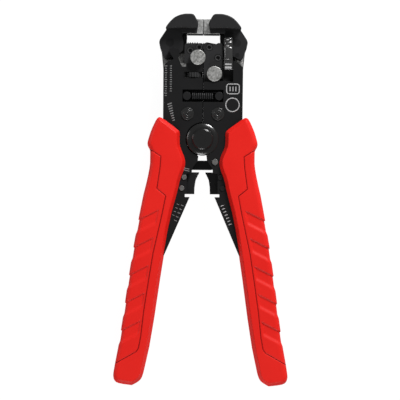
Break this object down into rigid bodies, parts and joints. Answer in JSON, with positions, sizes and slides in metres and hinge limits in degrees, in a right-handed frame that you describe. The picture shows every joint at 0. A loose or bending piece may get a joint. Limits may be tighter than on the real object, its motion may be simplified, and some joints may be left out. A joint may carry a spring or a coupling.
{
  "type": "wire stripper",
  "caption": "Self-adjusting wire stripper with red moulded grips, rocking upper jaws, a toothed gripping jaw, a stripping jaw, wire cutters and a return spring, built as jointed steel pieces.",
  "frame": {"origin": "on the axis of the main pivot, on the flat back face of the pivot pin's head, which is the plane that the tool rests on", "axes": "+Z along the main pivot, from the back of the tool to its front; +Y from the pivot towards the jaws, along the tool's length; +X towards the right half, seen from the front"},
  "size_m": [0.0964, 0.2049, 0.02],
  "materials": {
    "grip": "satin bright red moulded sleeve",
    "plate": "satin black coated steel",
    "core": "bare blasted steel",
    "jaw_block": "dark grey phosphated steel",
    "upper_jaw": "satin black coated steel",
    "screw": "black oxide steel",
    "disc": "bright blasted steel",
    "pin": "black oxide steel",
    "rivet": "black oxide steel",
    "bright_rivet": "bare steel",
    "cutter": "black oxide tool steel",
    "pivot": "black oxide steel",
    "ring": "dark spring steel",
    "latch": "satin black coated steel",
    "lever": "black oxide steel",
    "spring": "blackened spring steel",
    "thumbwheel": "black oxide steel, knurled",
    "slide": "black oxide steel"
  },
  "bodies": {
    "left_half": {"left_front_plate": "plate", "left_back_plate": "plate", "left_core": "core", "left_grip": "grip", "gripping_jaw": "jaw_block", "gripping_jaw_screws": "screw", "gripping_jaw_disc": "disc", "left_spring_pin": "pin", "left_lever_rivet": "rivet", "left_jaw_pin": "pin", "left_cutter_blade": "cutter", "left_cutter_rivets": "bright_rivet", "return_spring": "spring"},
    "right_half": {"right_front_plate": "plate", "right_back_plate": "plate", "right_core": "core", "right_grip": "grip", "stripping_jaw": "jaw_block", "stripping_jaw_screws": "screw", "stripping_jaw_disc": "disc", "right_spring_pin": "pin", "right_lever_rivet": "rivet", "right_jaw_pin": "pin", "right_cutter_blade": "cutter", "right_cutter_rivets": "bright_rivet", "pivot_pin": "pivot", "pivot_front_washer": "pivot", "pivot_back_washer": "pivot", "pivot_retaining_ring": "ring", "latch_rivet": "bright_rivet"},
    "left_jaw": {"left_upper_jaw": "upper_jaw", "left_jaw_pad": "core", "left_tail_pin": "pin"},
    "right_jaw": {"right_upper_jaw": "upper_jaw", "right_jaw_pad": "core", "right_tail_pin": "pin"},
    "left_lever": {"left_push_lever": "lever"},
    "right_lever": {"right_push_lever": "lever"},
    "thumbwheel": {"tension_thumbwheel": "thumbwheel"},
    "selector": {"selector_slide": "slide"},
    "latch": {"latch_band": "latch"}
  },
  "joints": [
    {"name": "handle_squeeze", "type": "hinge", "parent": "left_half", "child": "right_half", "pos_m": [0, 0, 0.01], "axis": [0, 0, -1], "range_deg": [0, 20], "stiffness_Nm_per_rad": 1.7, "springref_deg": -8.59, "deforming": ["return_spring"]},
    {"name": "left_jaw_turn", "type": "hinge", "parent": "left_half", "child": "left_jaw", "pos_m": [-0.0185, 0.0534, 0.01], "axis": [0, 0, -1], "range_deg": [0, 12]},
    {"name": "right_jaw_turn", "type": "hinge", "parent": "right_half", "child": "right_jaw", "pos_m": [0.0185, 0.0534, 0.01], "axis": [0, 0, 1], "range_deg": [0, 12]},
    {"name": "left_lever_turn", "type": "hinge", "parent": "left_half", "child": "left_lever", "pos_m": [-0.0084, 0.014, 0.01], "axis": [0, 0, 1], "range_deg": [0, 2.4]},
    {"name": "right_lever_turn", "type": "hinge", "parent": "right_half", "child": "right_lever", "pos_m": [0.0084, 0.014, 0.01], "axis": [0, 0, -1], "range_deg": [0, 2.4]},
    {"name": "thumbwheel_turn", "type": "hinge", "parent": "left_half", "child": "thumbwheel", "pos_m": [-0.00515, 0.0357, 0.01], "axis": [0, 1, 0], "range_deg": [-180, 180]},
    {"name": "selector_travel", "type": "slide", "parent": "right_half", "child": "selector", "axis": [0, -1, 0], "range_m": [0, 0.006]},
    {"name": "latch_swing", "type": "hinge", "parent": "right_half", "child": "latch", "pos_m": [0.007, -0.0125, 0.01], "axis": [0, 0, 1], "range_deg": [0, 5]}
  ],
  "couplings": [
    {"joint": "left_jaw_turn", "follows": "handle_squeeze", "ratio": 0.6},
    {"joint": "right_jaw_turn", "follows": "handle_squeeze", "ratio": 0.6},
    {"joint": "left_lever_turn", "follows": "handle_squeeze", "ratio": 0.115},
    {"joint": "right_lever_turn", "follows": "handle_squeeze", "ratio": 0.115}
  ]
}
